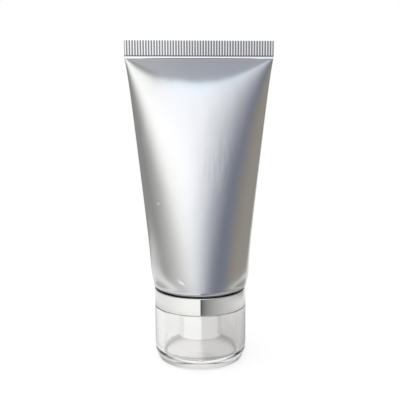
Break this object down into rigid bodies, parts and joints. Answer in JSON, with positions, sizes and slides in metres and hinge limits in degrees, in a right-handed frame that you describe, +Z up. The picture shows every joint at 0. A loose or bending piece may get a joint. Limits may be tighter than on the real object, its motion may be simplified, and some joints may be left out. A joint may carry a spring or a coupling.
{
  "type": "squeeze tube",
  "caption": "Empty squeeze tube of satin silver laminate with a ribbed flat crimp, standing on a screw cap made of a mirror-plated collar and a thick clear overcap.",
  "frame": {"origin": "centre of the cap's flat base, on the surface it stands on", "axes": "+Z up along the tube's axis from the cap to the crimp, +X along the crimp, the front faces -Y"},
  "size_m": [0.0552, 0.0356, 0.12],
  "materials": {
    "silver_laminate": "satin metallised laminate with a faint upright grain",
    "white_moulding": "plain moulded polyethylene",
    "foam_liner": "closed-cell foam sheet",
    "natural_plastic": "plain moulded polypropylene",
    "bright_plating": "mirror-bright plating on a moulding",
    "clear_acrylic": "polished clear acrylic"
  },
  "bodies": {
    "tube": {"tube_sleeve": "silver_laminate", "tube_head": "white_moulding"},
    "liner": {"sealing_disc": "foam_liner"},
    "cap": {"threaded_insert": "natural_plastic", "plated_collar": "bright_plating", "clear_overcap": "clear_acrylic"}
  },
  "joints": [
    {"name": "cap_lift", "type": "slide", "parent": "tube", "child": "liner", "axis": [0, 0, -1], "range_m": [0, 0.015]},
    {"name": "cap_turn", "type": "hinge", "parent": "liner", "child": "cap", "pos_m": [0, 0, 0.0274], "axis": [0, 0, -1], "range_deg": [0, 1800]}
  ],
  "couplings": [
    {"joint": "cap_lift", "follows": "cap_turn", "m_per_rad": 0.00047746}
  ]
}
